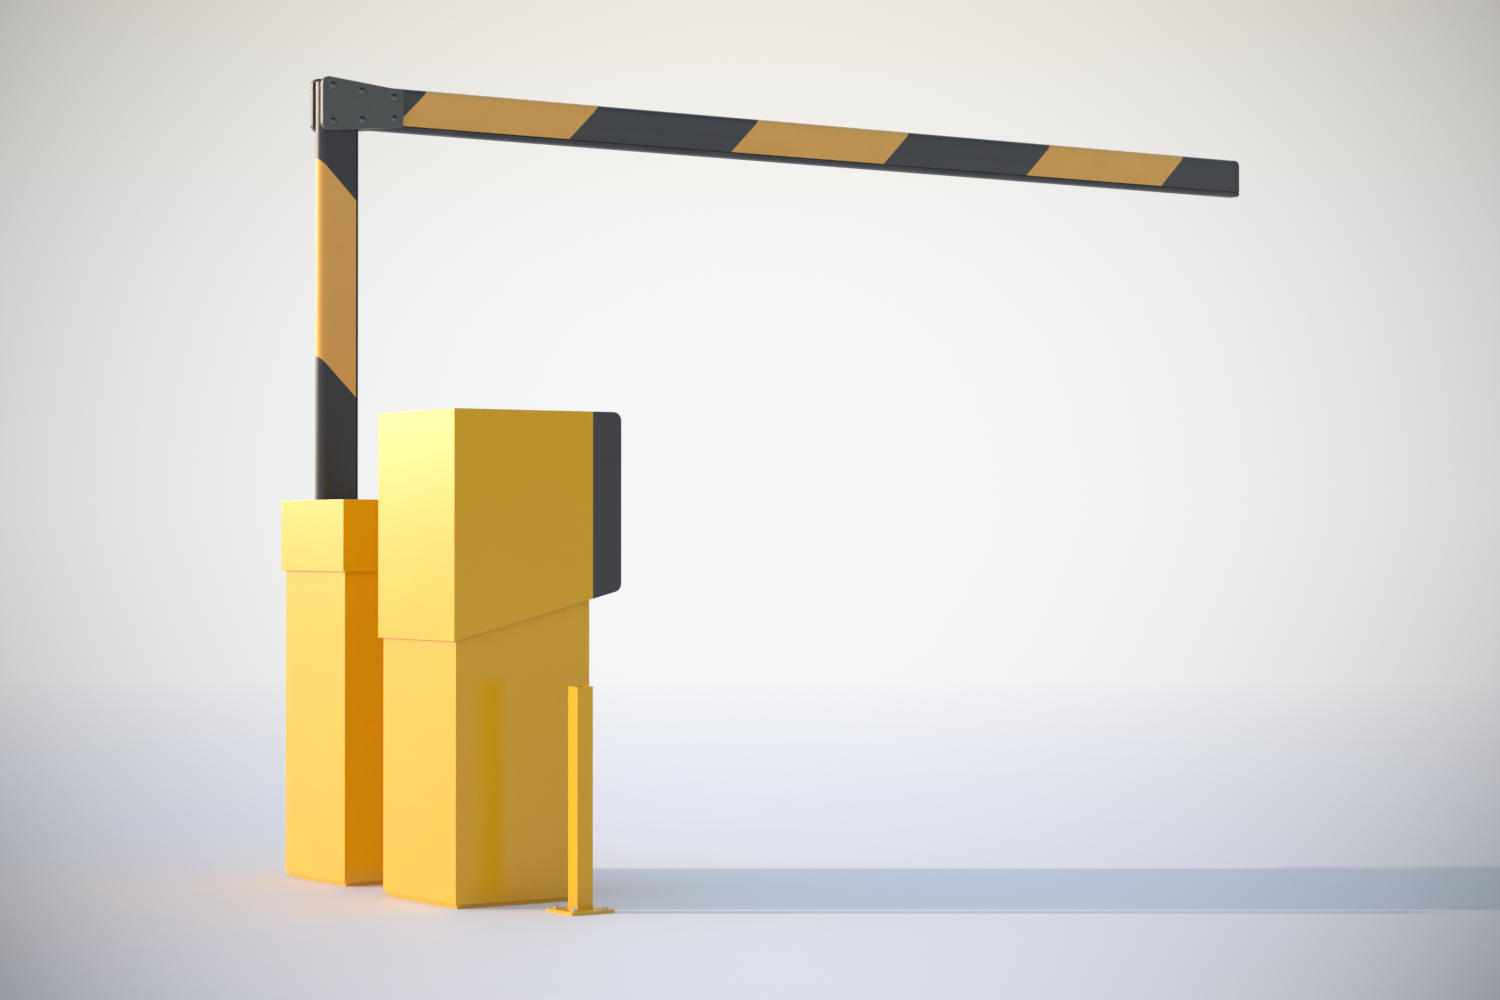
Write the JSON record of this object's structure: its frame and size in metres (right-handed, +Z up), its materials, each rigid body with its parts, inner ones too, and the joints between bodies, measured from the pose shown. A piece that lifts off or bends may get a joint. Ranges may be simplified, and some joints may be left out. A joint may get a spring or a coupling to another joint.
{
  "type": "parking barrier gate",
  "caption": "Parking barrier gate: cabinet with a folding striped boom held level by a rod, a ticket terminal with a hinged dark fascia, and a low guard post.",
  "frame": {"origin": "centre of the barrier cabinet's footprint, on the ground", "axes": "+X the way the folded arm points, +Y the cabinet side that carries the boom, +Z up"},
  "size_m": [3.494, 1.372, 2.15],
  "materials": {
    "yellow_paint": "satin powder coat",
    "dark_coat": "satin anodised",
    "stripe_film": "retroreflective film",
    "fascia_dark": "satin powder coat",
    "rubber_black": "matt",
    "plate_grey": "satin powder coat",
    "machined_steel": "machined",
    "zinc_plated": "zinc plated",
    "cast_grey": "painted casting",
    "spring_steel": "oiled spring steel",
    "bronze": "sintered bronze",
    "pad_plastic": "slide plastic",
    "box_grey": "moulded",
    "screen": "glossy",
    "button_green": "glossy",
    "aluminium": "milled",
    "paper": "uncoated"
  },
  "bodies": {
    "frame": {"base_frame": "yellow_paint", "cabinet_body": "yellow_paint", "cabinet_hood": "yellow_paint", "hinge_knuckles": "zinc_plated", "hinge_pins": "machined_steel", "outer_frame_plate": "cast_grey", "inner_frame_plate": "cast_grey", "frame_bars": "machined_steel", "bearing_housings": "cast_grey", "bearing_screws": "zinc_plated", "shaft_seal": "rubber_black", "stop_buffers": "rubber_black", "balance_spring": "spring_steel", "gearbox": "cast_grey", "motor": "cast_grey", "control_box": "box_grey", "supply_cable": "rubber_black", "levelling_bracket": "zinc_plated", "terminal_base": "yellow_paint", "terminal_body": "yellow_paint", "terminal_hood": "yellow_paint", "ticket_roll": "paper", "guard_post": "yellow_paint", "post_bolts": "zinc_plated"},
    "boom": {"main_shaft": "machined_steel", "shaft_lever": "cast_grey", "boom_hub": "plate_grey", "clamp_plate": "plate_grey", "clamp_bolts": "zinc_plated", "boom_tube": "dark_coat", "boom_bumper": "rubber_black", "boom_stripe": "stripe_film", "boom_tip_insert": "aluminium", "boom_tail_cap": "rubber_black", "knuckle_bush": "bronze"},
    "arm": {"front_knuckle_plate": "plate_grey", "back_knuckle_plate": "plate_grey", "knuckle_pin": "machined_steel", "knuckle_screws": "dark_coat", "pad_screws": "dark_coat", "slide_pads": "pad_plastic", "arm_insert": "aluminium", "arm_tube": "dark_coat", "arm_bumper": "rubber_black", "arm_stripes": "stripe_film", "arm_end_cap": "rubber_black"},
    "rod": {"levelling_rod": "zinc_plated"},
    "crank": {"crank": "cast_grey", "drive_gear": "machined_steel"},
    "link": {"drive_link": "machined_steel"},
    "pinion": {"motor_pinion": "machined_steel"},
    "door": {"cabinet_door": "yellow_paint"},
    "lock": {"door_lock": "zinc_plated"},
    "fascia": {"fascia": "fascia_dark", "display_glass": "screen", "ticket_mouth": "box_grey", "ticket_printer": "box_grey"},
    "fascia_key": {"fascia_lock": "zinc_plated"},
    "ticket_push": {"ticket_button": "button_green"},
    "call_push": {"call_button": "zinc_plated"}
  },
  "joints": [
    {"name": "boom_lift", "type": "hinge", "parent": "frame", "child": "boom", "pos_m": [0.014, 0.242, 0.88], "axis": [0, 1, 0], "range_deg": [0, 90], "stiffness_Nm_per_rad": 150, "deforming": ["balance_spring"]},
    {"name": "boom_fold", "type": "hinge", "parent": "boom", "child": "arm", "pos_m": [0.014, 0.242, 2.077], "axis": [0, 1, 0], "range_deg": [-90, 0]},
    {"name": "rod_swing", "type": "hinge", "parent": "frame", "child": "rod", "pos_m": [0.044, 0.291, 0.85], "axis": [0, 1, 0], "range_deg": [0, 90]},
    {"name": "crank_turn", "type": "hinge", "parent": "frame", "child": "crank", "pos_m": [0.014, 0.056, 0.64], "axis": [0, 1, 0], "range_deg": [0, 90]},
    {"name": "link_swing", "type": "hinge", "parent": "crank", "child": "link", "pos_m": [-0.04257, 0.069, 0.58343], "axis": [0, 1, 0], "range_deg": [-90, 0]},
    {"name": "pinion_turn", "type": "hinge", "parent": "frame", "child": "pinion", "pos_m": [0.014, -0.025, 0.56125], "axis": [0, 1, 0], "range_deg": [-225, 0]},
    {"name": "door_swing", "type": "hinge", "parent": "frame", "child": "door", "pos_m": [0.176, -0.157, 0.42], "axis": [0, 0, -1], "range_deg": [0, 110]},
    {"name": "door_lock_turn", "type": "hinge", "parent": "door", "child": "lock", "pos_m": [0.174, 0.115, 0.42], "axis": [-1, 0, 0], "range_deg": [0, 90]},
    {"name": "fascia_swing", "type": "hinge", "parent": "frame", "child": "fascia", "pos_m": [0.198, -0.3975, 0.95], "axis": [0, 0, 1], "range_deg": [0, 95]},
    {"name": "fascia_lock_turn", "type": "hinge", "parent": "fascia", "child": "fascia_key", "pos_m": [0.27, -0.745, 0.95], "axis": [1, 0, 0], "range_deg": [0, 90]},
    {"name": "ticket_button_push", "type": "slide", "parent": "fascia", "child": "ticket_push", "axis": [-1, 0, 0], "range_m": [0, 0.004], "stiffness_N_per_m": 200},
    {"name": "call_button_push", "type": "slide", "parent": "fascia", "child": "call_push", "axis": [-1, 0, 0], "range_m": [0, 0.004], "stiffness_N_per_m": 200}
  ],
  "couplings": [
    {"joint": "boom_fold", "follows": "boom_lift", "ratio": -1},
    {"joint": "rod_swing", "follows": "boom_lift", "ratio": 1},
    {"joint": "crank_turn", "follows": "boom_lift", "ratio": 1},
    {"joint": "link_swing", "follows": "boom_lift", "ratio": -1},
    {"joint": "pinion_turn", "follows": "boom_lift", "ratio": -2.5}
  ]
}
